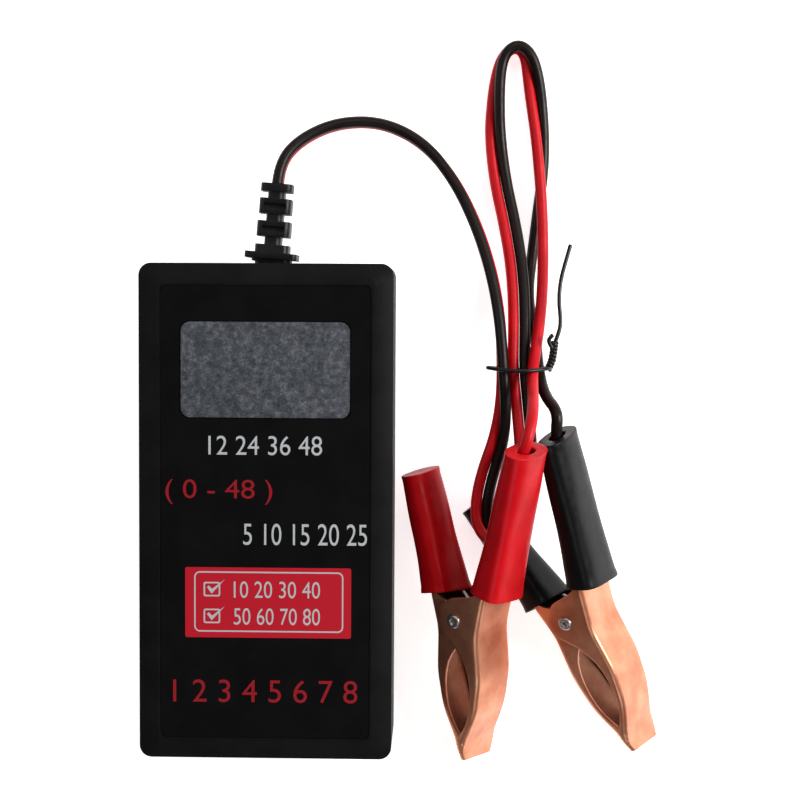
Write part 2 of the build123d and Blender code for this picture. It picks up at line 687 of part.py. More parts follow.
# the wires inside the case, from the strain relief to the two terminals on the board
inner_wires = {}
for colour, side, spot in (("red", -1, terminal_spots[1]), ("black", 1, terminal_spots[0])):
    start = Vector(RELIEF_X, CASE_LENGTH / 2 - WALL - 0.1, RELIEF_HEIGHT + side * TWIN_HALF_GAP)
    wire_level = board_bottom - WIRE / 2 - FIT
    inner_wires[colour] = wire([
        start,
        start - Vector(0, 3.2 + side * 0.5, 0),
        Vector(spot[0] * 0.9, board_notch_end + 0.4, wire_level - 0.3),
        Vector(spot[0], spot[1] + TERMINAL_RADIUS + FIT, wire_level),
    ])

# ---- twist tie ----
with BuildPart() as twist_tie:
    tie_origin = (TIE_CENTRE[0], TIE_Y - TIE_WIRE / 2, TIE_CENTRE[1])
    with BuildSketch(Plane(origin=tie_origin, x_dir=(1, 0, 0), z_dir=(0, 1, 0))):
        RectangleRounded(TIE_OPENING[0] + 2 * TIE_WIRE, TIE_OPENING[1] + 2 * TIE_WIRE, TIE_CORNER + TIE_WIRE)
        RectangleRounded(*TIE_OPENING, TIE_CORNER, mode=Mode.SUBTRACT)
    extrude(amount=TIE_WIRE)
    tail = [(68.9, 35.2, 15.9), (70.2, 38.0, 16.2), (70.6, 41.8, 16.6), (71.9, 46.5, 16.0),
            (71.6, 52.0, 15.4), (72.1, 57.0, 14.8), (74.6, 66.0, 13.6)]
    with BuildLine() as tail_line:
        FilletPolyline(*tail, radius=2.0)
    with BuildSketch(Plane(origin=tail_line.line @ 0, z_dir=tail_line.line % 0)):
        Circle(TIE_WIRE / 2)
    sweep(path=tail_line.line)

pieces = {
    "back_shell": back_shell,
    "front_shell": front_shell,
    "front_label": front_label,
    "display_window": display_window,
    "circuit_board": circuit_board,
    "display_module": display_module,
    "control_chip": control_chip,
    "voltage_regulator": voltage_regulator,
    "filter_capacitor": filter_capacitor,
    "load_resistors": load_resistors,
    "protection_diode": protection_diode,
    "solder_terminals": solder_terminals,
    "board_screws": board_screws,
    "case_screws": case_screws,
    "strain_relief": strain_relief,
    "red_inner_wire": inner_wires["red"],
    "black_inner_wire": inner_wires["black"],
    "red_lead": red_lead,
    "black_lead": black_lead,
    "twist_tie": twist_tie,
    **clip_pieces,
}
for name, piece in pieces.items():
    save(piece, name)
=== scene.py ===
import json
from math import cos, pi, radians, sin, tan

import bmesh
import bpy
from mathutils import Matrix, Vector


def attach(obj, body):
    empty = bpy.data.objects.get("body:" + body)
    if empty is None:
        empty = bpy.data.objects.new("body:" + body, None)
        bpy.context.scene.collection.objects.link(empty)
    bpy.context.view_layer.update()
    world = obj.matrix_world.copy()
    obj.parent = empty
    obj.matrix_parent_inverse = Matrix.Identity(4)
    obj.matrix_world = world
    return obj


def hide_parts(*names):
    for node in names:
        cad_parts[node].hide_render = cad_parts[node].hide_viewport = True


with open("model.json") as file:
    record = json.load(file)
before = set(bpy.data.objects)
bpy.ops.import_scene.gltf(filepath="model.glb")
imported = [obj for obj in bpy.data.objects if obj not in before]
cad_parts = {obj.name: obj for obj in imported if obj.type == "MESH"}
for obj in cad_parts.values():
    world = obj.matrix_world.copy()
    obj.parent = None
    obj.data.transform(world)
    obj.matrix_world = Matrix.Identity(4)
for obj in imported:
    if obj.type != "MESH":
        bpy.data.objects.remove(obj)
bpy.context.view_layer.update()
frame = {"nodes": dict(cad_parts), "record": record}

# Sizes below are in millimetres; MM turns them into Blender's metres.
MM = 0.001
scene = bpy.context.scene
bodies = {node: name for name, nodes in frame["record"]["behaviour"]["bodies"].items() for node in nodes}
slots = {part["node"]: part["material_slot"] for part in frame["record"]["subparts"]}


# ---------------------------------------------------------------- camera and light
camera_data = bpy.data.cameras.new("camera")
camera_data.sensor_width = 36.0
camera_data.lens = 73.6
camera = bpy.data.objects.new("camera", camera_data)
camera.location = Vector((41.85, 49.55, 420.0)) * MM
camera.rotation_euler = (-0.0547, 0.0234, 0.0057)
scene.collection.objects.link(camera)
scene.camera = camera
scene.view_settings.view_transform = "Standard"
scene.view_settings.look = "Medium High Contrast"


def softbox(name, place, target, width, height, power, tint):
    """A rectangular studio light that looks at a point."""
    data = bpy.data.lights.new(name, "AREA")
    data.shape = "RECTANGLE"
    data.size = width * MM
    data.size_y = height * MM
    data.energy = power
    data.color = tint
    lamp = bpy.data.objects.new(name, data)
    lamp.location = Vector(place) * MM
    lamp.rotation_euler = (Vector(place) - Vector(target)).to_track_quat("Z", "Y").to_euler()
    scene.collection.objects.link(lamp)


MIDDLE = (34, 30, 10)
softbox("right_light", (760, 190, 560), MIDDLE, 320, 460, 6.4, (1.0, 0.985, 0.96))
softbox("left_light", (-520, 200, 560), MIDDLE, 260, 420, 0.6, (0.97, 0.985, 1.0))
softbox("top_light", (40, 560, 640), MIDDLE, 460, 240, 0.9, (1.0, 1.0, 1.0))
softbox("front_light", (60, -480, 560), MIDDLE, 420, 200, 0.45, (1.0, 1.0, 1.0))

world = bpy.data.worlds.new("studio")
world.use_nodes = True
world.node_tree.nodes["Background"].inputs["Color"].default_value = (0.9, 0.92, 0.95, 1)
world.node_tree.nodes["Background"].inputs["Strength"].default_value = 0.08
scene.world = world


# ---------------------------------------------------------------- shader helpers
class Value:
    """A number that varies over a surface. Arithmetic on it adds Math nodes."""

    def __init__(self, finish, socket):
        self.finish = finish
        self.socket = socket

    def math(self, operation, *others):
        inputs = dict(enumerate((self, *others)))
        return self.finish.node("ShaderNodeMath", {"operation": operation}, inputs)

    def __add__(self, other):
        return self.math("ADD", other)

    def __sub__(self, other):
        return self.math("SUBTRACT", other)

    def __mul__(self, other):
        return self.math("MULTIPLY", other)

    def __rsub__(self, other):
        return (self * -1) + other

    __radd__ = __add__
    __rmul__ = __mul__

    def between(self, low, high):
        """0 below low, 1 above high and smooth in between."""
        settings = {"interpolation_type": "SMOOTHSTEP"}
        inputs = {"Value": self, "From Min": low, "From Max": high}
        return self.finish.node("ShaderNodeMapRange", settings, inputs)


class Finish:
    """A material built round one Principled surface."""

    def __init__(self, name, **constants):
        self.material = bpy.data.materials.new(name)
        self.material.use_nodes = True
        self.tree = self.material.node_tree
        self.surface = self.tree.nodes["Principled BSDF"]
        self.place = self.node("ShaderNodeTexCoord", output="Object")
        for key, value in constants.items():
            self.surface.inputs[key.replace("_", " ")].default_value = value

    def node(self, kind, settings=None, inputs=None, output=0):
        made = self.tree.nodes.new(kind)
        for key, value in (settings or {}).items():
            if key == "stops":
                while len(made.color_ramp.elements) < len(value):
                    made.color_ramp.elements.new(0.5)
                for element, (position, color) in zip(made.color_ramp.elements, value):
                    element.position = position
                    element.color = (*color, 1)
            else:
                setattr(made, key, value)
        for key, value in (inputs or {}).items():
            self.feed(made.inputs[key], value)
        return Value(self, made.outputs[output])

    def feed(self, socket, value):
        if isinstance(value, Value):
            self.tree.links.new(value.socket, socket)
        else:
            socket.default_value = value

    def set(self, key, value):
        self.feed(self.surface.inputs[key], value)

    def noise(self, size, detail=3.0, roughness=0.55, stretch=None):
        """Cloudy noise whose blobs are about size millimetres across."""
        where = self.place
        if stretch:
            where = self.node("ShaderNodeMapping", {}, {"Vector": where, "Scale": stretch})
        inputs = {"Vector": where, "Scale": 1 / (size * MM), "Detail": detail, "Roughness": roughness}
        return self.node("ShaderNodeTexNoise", {}, inputs)

    def cells(self, size):
        inputs = {"Vector": self.place, "Scale": 1 / (size * MM)}
        return self.node("ShaderNodeTexVoronoi", {}, inputs)

    def ramp(self, value, *stops):
        return self.node("ShaderNodeValToRGB", {"stops": stops}, {0: value})

    def blend(self, factor, low, high):
        inputs = {0: factor, 6: low, 7: high}
        inputs = {key: (*v, 1) if isinstance(v, tuple) else v for key, v in inputs.items()}
        return self.node("ShaderNodeMix", {"data_type": "RGBA"}, inputs, 2)

    def bump(self, height, depth, strength=1.0, under=None):
        inputs = {"Height": height, "Distance": depth * MM, "Strength": strength}
        if under:
            inputs["Normal"] = under
        return self.node("ShaderNodeBump", {}, inputs)


# ---------------------------------------------------------------- finishes
def moulded(name, dark, light, low, high, grain, depth, **constants):
    """Moulded plastic or rubber: cloudy colour, a fine grain and faint scuffs."""
    finish = Finish(name, **constants)
    cloud = finish.noise(9.0, 4)
    fine = finish.noise(grain, 2, 0.6)
    scuff = finish.noise(1.6, 5, 0.7, (1.0, 0.22, 1.0)).between(0.60, 0.74)
    finish.set("Base Color", finish.blend(cloud.between(0.3, 0.7), dark, light))
    finish.set("Roughness", cloud * (high - low) + low + scuff * 0.06 + fine * 0.05)
    finish.set("Normal", finish.bump(fine + finish.cells(grain * 1.7) * 0.5, depth))
    return finish.material


def pvc(name, dark, light, roughness, ripple=0.03, **constants):
    """Soft coated plastic: glossy, with a slow ripple and finger smudges."""
    finish = Finish(name, **constants)
    cloud = finish.noise(7.0, 3)
    smudge = finish.noise(2.4, 5, 0.65).between(0.45, 0.75)
    finish.set("Base Color", finish.blend(cloud.between(0.25, 0.75), dark, light))
    finish.set("Roughness", smudge * 0.14 + cloud * 0.06 + (roughness - 0.05))
    ripples = finish.bump(finish.noise(3.2, 2), ripple)
    finish.set("Normal", finish.bump(finish.noise(0.35, 2), 0.006, 1.0, ripples))
    return finish.material


def copper(name, tarnish, painted_light_level=1.0):
    """Copper plate on steel: rolled streaks, warm blotches and tarnish spots. Its last argument, under 1,
    scales the whole colour down as painted shade.
    """
    finish = Finish(name, Metallic=0.84)
    streak = finish.noise(0.9, 4, 0.7, (1.0, 0.06, 1.0))
    cloud = finish.noise(8.0, 4, 0.6)
    spots = finish.noise(1.1, 6, 0.75).between(0.62, 0.80)
    # both copper tones are scaled by the last argument; under 1 this is painted shade
    light = tuple(c * painted_light_level for c in (0.83, 0.41, 0.265))
    dull = tuple(c * painted_light_level for c in (0.67, 0.27, 0.16))
    plate = finish.blend(cloud.between(0.3, 0.72), light, dull)
    worn = finish.blend(spots * tarnish, plate, (0.42, 0.17, 0.10))
    finish.set("Base Color", finish.blend(streak.between(0.55, 0.8) * 0.25, worn, (0.88, 0.56, 0.40)))
    finish.set("Roughness", streak * 0.16 + cloud * 0.12 + spots * 0.10 + 0.24)
    waves = finish.bump(finish.noise(6.0, 2), 0.05)
    finish.set("Normal", finish.bump(streak, 0.008, 1.0, waves))
    return finish.material


def bright_metal(name, color, roughness):
    finish = Finish(name, Metallic=1.0)
    streak = finish.noise(0.5, 4, 0.7, (1.0, 0.15, 1.0))
    darker = tuple(c * 0.72 for c in color)
    finish.set("Base Color", finish.blend(finish.noise(2.0, 4).between(0.4, 0.75), color, darker))
    finish.set("Roughness", streak * 0.2 + roughness)
    finish.set("Normal", finish.bump(streak, 0.01))
    return finish.material


def display_haze(name):
    """The window's protective film: blue-grey, mottled like felt."""
    finish = Finish(name, Coat_Weight=0.25, Coat_Roughness=0.2)
    blots = finish.noise(1.5, 6, 0.72)
    fibres = finish.noise(0.5, 4, 0.8)
    shade = blots * 0.65 + fibres * 0.35
    tones = finish.ramp(
        shade,
        (0.38, (0.042, 0.047, 0.058)),
        (0.51, (0.098, 0.106, 0.122)),
        (0.63, (0.21, 0.22, 0.24)),
    )
    finish.set("Base Color", tones)
    finish.set("Roughness", blots * 0.25 + 0.38)
    finish.set("Normal", finish.bump(shade, 0.05))
    return finish.material


def ink(name, color, thin):
    finish = Finish(name)
    speck = finish.noise(0.25, 4, 0.8).between(0.58, 0.80)
    faded = tuple(c * thin for c in color)
    finish.set("Base Color", finish.blend(speck, color, faded))
    finish.set("Roughness", speck * 0.15 + 0.45)
    finish.set("Normal", finish.bump(speck, 0.01))
    return finish.material


def board_mask(name):
    finish = Finish(name, Coat_Weight=0.4, Coat_Roughness=0.15)
    tracks = finish.cells(2.2).between(0.30, 0.34)
    finish.set("Base Color", finish.blend(tracks, (0.03, 0.16, 0.06), (0.045, 0.24, 0.09)))
    finish.set("Roughness", tracks * 0.1 + 0.35)
    finish.set("Normal", finish.bump(tracks, 0.03))
    return finish.material


FINISHES = {
    "case_plastic": moulded(
        "case_plastic", (0.0105, 0.0105, 0.011), (0.0155, 0.0155, 0.016),
        0.44, 0.54, 0.42, 0.035, Specular_IOR_Level=0.14,
    ),
    "label": moulded(
        "label", (0.0056, 0.0056, 0.006), (0.0086, 0.0086, 0.009),
        0.50, 0.60, 0.30, 0.018, Specular_IOR_Level=0.14,
    ),
    "window": display_haze("window"),
    "board": board_mask("board"),
    "display": pvc("display", (0.16, 0.17, 0.17), (0.20, 0.21, 0.20), 0.25),
    "chip": moulded("chip", (0.012, 0.012, 0.012), (0.02, 0.02, 0.02), 0.45, 0.55, 0.12, 0.01),
    "capacitor": bright_metal("capacitor", (0.60, 0.61, 0.63), 0.22),
    "ceramic": moulded("ceramic", (0.62, 0.60, 0.54), (0.74, 0.72, 0.66), 0.6, 0.75, 0.2, 0.03),
    "solder": bright_metal("solder", (0.66, 0.66, 0.64), 0.2),
    "screw_steel": bright_metal("screw_steel", (0.46, 0.46, 0.47), 0.28),
    "relief_rubber": moulded(
        "relief_rubber", (0.008, 0.008, 0.0085), (0.014, 0.014, 0.014),
        0.36, 0.48, 0.5, 0.02, Specular_IOR_Level=0.4,
    ),
    "red_wire": pvc(
        "red_wire", (0.60, 0.006, 0.014), (0.72, 0.011, 0.022),
        0.42, 0.02, Specular_IOR_Level=0.35,
    ),
    "black_wire": pvc(
        "black_wire", (0.012, 0.0075, 0.0065), (0.019, 0.012, 0.010),
        0.40, 0.02, Specular_IOR_Level=0.35,
    ),
    "tie": pvc("tie", (0.010, 0.010, 0.011), (0.018, 0.018, 0.018), 0.30),
    "copper": copper("copper", 0.55),
    "red_sleeve": pvc(
        "red_sleeve", (0.56, 0.004, 0.010), (0.68, 0.007, 0.016),
        0.38, 0.05, Specular_IOR_Level=0.3,
    ),
    "black_sleeve": pvc(
        "black_sleeve", (0.007, 0.008, 0.008), (0.011, 0.012, 0.012),
        0.36, 0.05, Specular_IOR_Level=0.3,
    ),
    "rivet_steel": bright_metal("rivet_steel", (0.55, 0.57, 0.58), 0.26),
    "spring_steel": bright_metal("spring_steel", (0.52, 0.50, 0.47), 0.22),
}
# Painted shade: a darker copy of the copper, with more tarnish spots, for the inner faces of the clip halves.
SHADED_INSIDE_COPPER = copper("shaded_inside_copper", 0.9, 0.36)
WHITE_INK = ink("white_ink", (0.58, 0.60, 0.62), 0.6)
RED_INK = ink("red_ink", (0.38, 0.012, 0.025), 0.5)
BLOCK_INK = ink("block_ink", (0.60, 0.014, 0.035), 0.86)

for node, slot_name in slots.items():
    held = frame["nodes"][node]
    solid = bpy.data.objects[node] if isinstance(held, str) else held
    solid.data.materials.clear()
    solid.data.materials.append(FINISHES[slot_name])


# ---------------------------------------------------------------- floor
floor_mesh = bpy.data.meshes.new("floor")
FLOOR_REACH = 4.0
corners = [(x * FLOOR_REACH, y * FLOOR_REACH, 0) for x, y in ((-1, -1), (1, -1), (1, 1), (-1, 1))]
floor_mesh.from_pydata(corners, [], [(0, 1, 2, 3)])
floor = bpy.data.objects.new("floor", floor_mesh)
paper = Finish("paper", Roughness=0.85, Emission_Strength=0.64)
paper.set("Base Color", paper.blend(paper.noise(60.0, 3), (0.93, 0.93, 0.933), (0.95, 0.95, 0.95)))
paper.surface.inputs["Emission Color"].default_value = (1, 1, 1, 1)
floor_mesh.materials.append(paper.material)
floor.location.z = -0.2 * MM
scene.collection.objects.link(floor)


# ---------------------------------------------------------------- mesh helpers
def add_piece(name, mesh, node, finish=None):
    """A new visible piece that stands for a CAD node and moves with it."""
    piece = bpy.data.objects.new(name, mesh)
    scene.collection.objects.link(piece)
    mesh.materials.clear()
    mesh.materials.append(finish or FINISHES[slots[node]])
    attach(piece, bodies[node])
    return piece


def modify(piece, kind, **settings):
    """Add a modifier, then keep its result as the piece's own mesh."""
    modifier = piece.modifiers.new(kind.lower(), kind)
    for key, value in settings.items():
        setattr(modifier, key, value)
    graph = bpy.context.evaluated_depsgraph_get()
    made = bpy.data.meshes.new_from_object(piece.evaluated_get(graph))
    piece.modifiers.clear()
    piece.data = made


def smooth(piece, angle=35):
    piece.data.shade_smooth()
    piece.data.set_sharp_from_angle(angle=radians(angle))


def soften(node, width, angle=28):
    """A copy of a CAD node with its edges rounded."""
    piece = add_piece(f"{node}_body", bpy.data.objects[node].data.copy(), node)
    weld = bmesh.new()
    weld.from_mesh(piece.data)
    bmesh.ops.remove_doubles(weld, verts=weld.verts, dist=1e-6)
    bmesh.ops.dissolve_limit(weld, angle_limit=radians(0.5), verts=weld.verts, edges=weld.edges)
    weld.to_mesh(piece.data)
    weld.free()
    modify(piece, "BEVEL", width=width * MM, segments=3, limit_method="ANGLE", angle_limit=radians(angle))
    smooth(piece)
    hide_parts(node)
    return piece


def grid_mesh(name, rows, closed=False):
    """A surface through rows of points; closed joins each row's ends."""
    width = len(rows[0])
    points = [Vector(p) * MM for row in rows for p in row]
    faces = []
    for r in range(len(rows) - 1):
        for c in range(width if closed else width - 1):
            d = (c + 1) % width
            faces.append((r * width + c, r * width + d, (r + 1) * width + d, (r + 1) * width + c))
    mesh = bpy.data.meshes.new(name)
    mesh.from_pydata(points, [], faces)
    return mesh


def curve_piece(name, runs, radius, node, cyclic=False):
    """Round wire along smooth curves."""
    data = bpy.data.curves.new(name, "CURVE")
    data.dimensions = "3D"
    data.bevel_depth = 1.0
    data.bevel_resolution = 5
    data.resolution_u = 10
    data.use_fill_caps = True
    for points in runs:
        spline = data.splines.new("NURBS")
        spline.points.add(len(points) - 1)
        for knot, point in zip(spline.points, points):
            knot.co = (*(Vector(point) * MM), 1)
            knot.radius = radius * MM
        spline.order_u = 3
        spline.use_cyclic_u = cyclic
        spline.use_endpoint_u = not cyclic
    piece = bpy.data.objects.new(name, data)
    scene.collection.objects.link(piece)
    data.materials.append(FINISHES[slots[node]])
    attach(piece, bodies[node])
    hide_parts(node)
    return piece


# ---------------------------------------------------------------- clip frames
RIVETS = {"red": (50.5, -25.4, 16.4), "black": (77.6, -25.6, 10.95)}
SWINGS = {"red": 1.9, "black": 26.2}
DIPS = {"red": 11.0, "black": 4.8}
ROLL = 38.0
HANDLE_START = 5.0
HANDLE_OFFSET = 7.6
HANDLE_ANGLE = 13.9
TANG_END = 31.0
JAW_REACH = 37.6
CLIP_WIDTH = 14.0
STEEL = 0.9
FREE_WIDTH = CLIP_WIDTH - 2 * (STEEL + 0.12)
LEAD_SLEEVE = (6.6, 44.5)
FREE_SLEEVE = (4.2, 34.2)
EAR = 5.3


class Clip:
    """One clip's own frame. x is the way the handles spread, y runs from the rivet to the handles
    and z is along the rivet."""

    def __init__(self, colour):
        swing, dip, roll = radians(SWINGS[colour]), radians(DIPS[colour]), radians(ROLL)
        forward = Vector((sin(swing) * cos(dip), -cos(swing) * cos(dip), -sin(dip)))
        side = Vector((cos(swing), sin(swing), 0))
        upward = forward.cross(side)
        self.origin = Vector(RIVETS[colour])
        self.x = side * cos(roll) + upward * sin(roll)
        self.z = upward * cos(roll) - side * sin(roll)
        self.y = self.z.cross(self.x)

    def at(self, x, y, z):
        return self.origin + self.x * x + self.y * y + self.z * z

    def handle(self, side, y, out=0.0, up=0.0):
        """A point by a handle's middle: out is away from the clip, up along the rivet."""
        angle = radians(HANDLE_ANGLE)
        return self.at(side * (handle_x(y) + out * cos(angle)), y - out * sin(angle), up)


def handle_x(y):
    return HANDLE_OFFSET + (y - HANDLE_START) * tan(radians(HANDLE_ANGLE))


CLIPS = {colour: Clip(colour) for colour in RIVETS}


# ---------------------------------------------------------------- the twin lead
WIRE = 2.8
HALF_GAP = 1.42
RELIEF_TIP = Vector((0.3, 60.75, 12.5)) + Vector((sin(radians(4.5)), cos(radians(4.5)), 0)) * 20.05
TWIN_ROUTE = [
    (2.3, 86.0, 12.3, -90),
    (7.5, 92.0, 10.5, -90),
    (16.5, 96.3, 8.5, -92),
    (27.5, 96.6, 7.2, -92),
    (38.0, 91.5, 7.2, -90),
    (45.8, 82.0, 8.0, -96),
    (51.2, 71.0, 9.2, -98),
    (55.0, 59.5, 11.0, -98),
    (57.2, 47.5, 13.6, -96),
    (57.9, 35.2, 15.9, -86),
    (58.1, 26.0, 15.9, -64),
    (57.1, 17.5, 14.8, -30),
    (54.6, 10.0, 14.2, -5),
    (53.0, 3.0, 14.1, 0),
    (52.9, -2.8, 14.1, 15),
    (54.4, -6.3, 14.8, 50),
    (57.7, -7.9, 16.0, 90),
    (61.0, -6.3, 17.7, 130),
    (62.5, -2.8, 18.9, 165),
    (63.0, 4.0, 20.2, 175),
    (63.8, 14.0, 19.2, 180),
    (63.0, 24.5, 15.0, 180),
    (61.8, 35.2, 14.4, 180),
    (62.1, 47.0, 11.2, 180),
    (61.7, 59.0, 8.0, 180),
    (59.8, 71.0, 5.2, 180),
    (57.3, 82.0, 3.5, 185),
    (55.8, 94.0, 2.7, 205),
    (56.0, 103.5, 3.2, 235),
    (56.6, 109.4, 3.3, 252),
    (57.7, 113.4, 3.3, 262),
    (59.9, 115.8, 3.3, 270),
    (62.3, 115.8, 3.3, 282),
    (64.2, 113.4, 3.3, 302),
    (65.2, 109.2, 3.2, 330),
    (66.1, 103.3, 3.0, 372),
    (67.2, 94.0, 3.2, 400),
    (67.6, 85.0, 3.8, 425),
]
TAILS = {
    "red": [
        (67.8, 75.0, 6.0),
        (68.1, 60.0, 8.3),
        (67.2, 47.0, 12.4),
        (65.1, 35.2, 17.3),
        (64.9, 31.2, 22.3),
        (64.7, 27.2, 29.4),
        (64.0, 22.6, 34.0),
    ],
    "black": [
        (67.0, 75.5, 1.8),
        (65.6, 64.0, 2.4),
        (64.2, 53.0, 5.8),
        (66.2, 43.5, 9.8),
        (66.7, 35.2, 14.3),
        (67.9, 29.0, 19.5),
        (70.9, 25.3, 26.2),
    ],
}


def wire_route(colour):
    """The twin route moved half a gap to one wire, then that wire's own tail into its clip."""
    side = 1 if colour == "red" else -1
    centres = [Vector(p[:3]) for p in TWIN_ROUTE]
    befores = [RELIEF_TIP] + centres
    points = [RELIEF_TIP + Vector((0, 0, -side * HALF_GAP))]
    for i, centre in enumerate(centres):
        travel = (centres[min(i + 1, len(centres) - 1)] - befores[i]).normalized()
        right = travel.cross(Vector((0, 0, 1))).normalized()
        above = right.cross(travel).normalized()
        roll = radians(TWIN_ROUTE[i][3])
        points.append(centre + (right * cos(roll) + above * sin(roll)) * HALF_GAP * side)
    points += [Vector(p) for p in TAILS[colour]]
    clip = CLIPS[colour]
    points.append(clip.handle(1, LEAD_SLEEVE[1], -0.4))
    angle = radians(HANDLE_ANGLE)
    past = TANG_END - 1.5 + 5.3 * cos(angle)
    points.append(clip.handle(1, past, -1.75))
    return points


leads = {}
for colour in CLIPS:
    leads[colour] = curve_piece(f"{colour}_wire", [wire_route(colour)], WIRE / 2, f"{colour}_lead")
    leads[colour].data.use_fill_caps = True


# ---------------------------------------------------------------- twist tie
def twisted(path, turns, spread):
    """Two strands wound round a path, as lists of points."""
    strands = ([], [])
    steps = 10 * turns
    for i in range(steps + 1):
        t = i / steps * (len(path) - 1)
        k = min(int(t), len(path) - 2)
        here = Vector(path[k]).lerp(Vector(path[k + 1]), t - k)
        along = (Vector(path[k + 1]) - Vector(path[k])).normalized()
        across = along.cross(Vector((0, 0, 1))).normalized()
        above = across.cross(along)
        angle = 2 * pi * turns * i / steps
        turn = (across * cos(angle) + above * sin(angle)) * spread
        strands[0].append(here + turn)
        strands[1].append(here - turn)
    return strands


TIE_Y = 35.2
TIE_MIDDLE = (61.85, 16.0)
ring = []
for i in range(20):
    angle = 2 * pi * i / 20
    bulge = 1.0 + 0.05 * cos(4 * angle)
    ring.append((
        TIE_MIDDLE[0] + 7.5 * bulge * cos(angle),
        TIE_Y + 0.35 * cos(2 * angle),
        TIE_MIDDLE[1] + 4.65 * bulge * sin(angle),
    ))
knot = twisted([(69.0, 35.2, 16.0), (69.9, 37.2, 16.2), (70.3, 39.6, 16.4), (70.5, 41.8, 16.5)], 4, 0.55)
tail = [(70.5, 41.6, 16.6), (71.8, 44.8, 16.3), (72.0, 47.8, 15.8), (71.5, 52.0, 15.4), (71.9, 57.0, 14.8),
        (73.2, 61.9, 14.2), (74.4, 65.9, 13.6)]
stub = [(70.0, 40.4, 16.9), (69.0, 41.8, 17.3), (69.1, 42.9, 17.4), (70.0, 43.7, 17.2)]
tie = curve_piece("tie_strands", [*knot, tail, stub], 0.5, "twist_tie")
tie_ring = curve_piece("tie_ring", [ring], 0.5, "twist_tie", True)


# ---------------------------------------------------------------- clips
def linear(table, y):
    """Straight-line lookup in a table of (y, value) rising in y."""
    if y <= table[0][0]:
        return table[0][1]
    for (y0, v0), (y1, v1) in zip(table, table[1:]):
        if y <= y1:
            return v0 + (v1 - v0) * (y - y0) / (y1 - y0)
    return table[-1][1]


def eased(table, y, window=2.2):
    """The same lookup, rounded off over a window."""
    steps = [k / 6 for k in range(-6, 7)]
    return sum(linear(table, y + k * window) for k in steps) / len(steps)


STRAP = [
    (-JAW_REACH, 1.05),
    (-33.5, 1.35),
    (-29.0, 3.5),
    (-24.0, 5.6),
    (-15.0, 7.0),
    (-3.5, 6.4),
    (4.0, handle_x(4.0) + 0.75),
    (TANG_END + 4, handle_x(TANG_END + 4) + 0.75),
]
EYE_TIP = -31.0
EYE_HEEL = -7.0
EYE = [
    (EYE_TIP, 0.0),
    (-29.5, 1.3),
    (-27.0, 2.7),
    (-24.0, 3.75),
    (-21.0, 4.22),
    (-18.0, 4.3),
    (-15.0, 4.0),
    (-12.0, 3.2),
    (-9.5, 1.9),
    (EYE_HEEL, 0.0),
]
PLATE_GAP = 0.15
TOOTH_PITCH = 1.25
TOOTH_DEPTH = 0.75
EAR_FRONT = -4.2
EAR_BACK = 3.4


def flange_edge(y, start, phase):
    """How far from the clip's middle a half's side plate ends; less than zero crosses over."""
    if y < EYE_TIP:
        tooth = abs((y / TOOTH_PITCH + phase) % 1.0 - 0.5)
        return PLATE_GAP + TOOTH_DEPTH * max(0.0, 0.5 - tooth) * (y > -JAW_REACH + 0.8)
    if y < EYE_HEEL:
        return max(PLATE_GAP, eased(EYE, y, 0.8))
    if y < EAR_FRONT:
        return linear([(EYE_HEEL, PLATE_GAP), (EAR_FRONT, -3.2)], y)
    if y < EAR_BACK:
        return -(EAR ** 2 - y * y) ** 0.5
    neck = [
        (EAR_BACK, -4.0),
        (start - 1.0, -1.2),
        (start - 0.1, 2.6),
        (start + 0.5, 4.6),
        (start + 1.5, handle_x(start) - 1.2),
    ]
    return linear(neck, y)


STATION_STEP = 0.25
TIP_NARROWS = 33.0
TIP_SLANTS = 24.0


def clip_half(colour, part, side, width, start, phase):
    """A stamped half with rounded bends, side plates, the eye and the teeth."""
    clip = CLIPS[colour]
    count = int((TANG_END + JAW_REACH) / STATION_STEP) + 1
    stations = [-JAW_REACH + STATION_STEP * k for k in range(count)]
    rows = []
    for y in stations:
        out = eased(STRAP, y)
        edge = flange_edge(y, start, phase)
        if y > start + 1.5:
            edge = out - 1.9
        half = width / 2 - max(0.0, (y - start)) / (TANG_END + 6 - start) * 3.4
        half -= 1.3 * (max(0.0, -y - TIP_NARROWS) / (JAW_REACH - TIP_NARROWS)) ** 2
        bend = min(1.25, max(0.12, (out - edge) * 0.75))
        profile = []
        for k in range(9):
            profile.append((edge + (out - bend - edge) * k / 9, half))
        for k in range(7):
            turn = pi / 2 * k / 6
            profile.append((out - bend + bend * sin(turn), half - bend + bend * cos(turn)))
        for k in range(1, 6):
            profile.append((out, (half - bend) * (1 - k / 3)))
        for k in range(7):
            turn = pi / 2 * k / 6
            profile.append((out - bend + bend * cos(turn), -half + bend - bend * sin(turn)))
        for k in range(8, -1, -1):
            profile.append((edge + (out - bend - edge) * k / 9, -half))
        # the tips are cut a little aslant, longer on the underside
        slant = 2.0 * max(0.0, -y - TIP_SLANTS) / (JAW_REACH - TIP_SLANTS)
        rows.append([clip.at(side * x, y - slant * (1 - z / half) / 2, z) for x, z in profile])
    node = f"{colour}_clip_{part}"
    piece = add_piece(f"{colour}_{part}_steel", grid_mesh(node, rows), node)
    # the inner faces get the darker copper, which is painted shade
    outer_first = [FINISHES["copper"], SHADED_INSIDE_COPPER]
    piece.data.materials.clear()
    for finish in outer_first[::side]:
        piece.data.materials.append(finish)
    modify(
        piece,
        "SOLIDIFY",
        thickness=STEEL * MM,
        offset=-side,
        use_even_offset=False,
        material_offset=1,
        material_offset_rim=(1 - side) // 2,
    )
    modify(piece, "BEVEL", width=0.14 * MM, segments=2, limit_method="ANGLE", angle_limit=radians(50))
    smooth(piece, 50)
    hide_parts(node)
    return piece


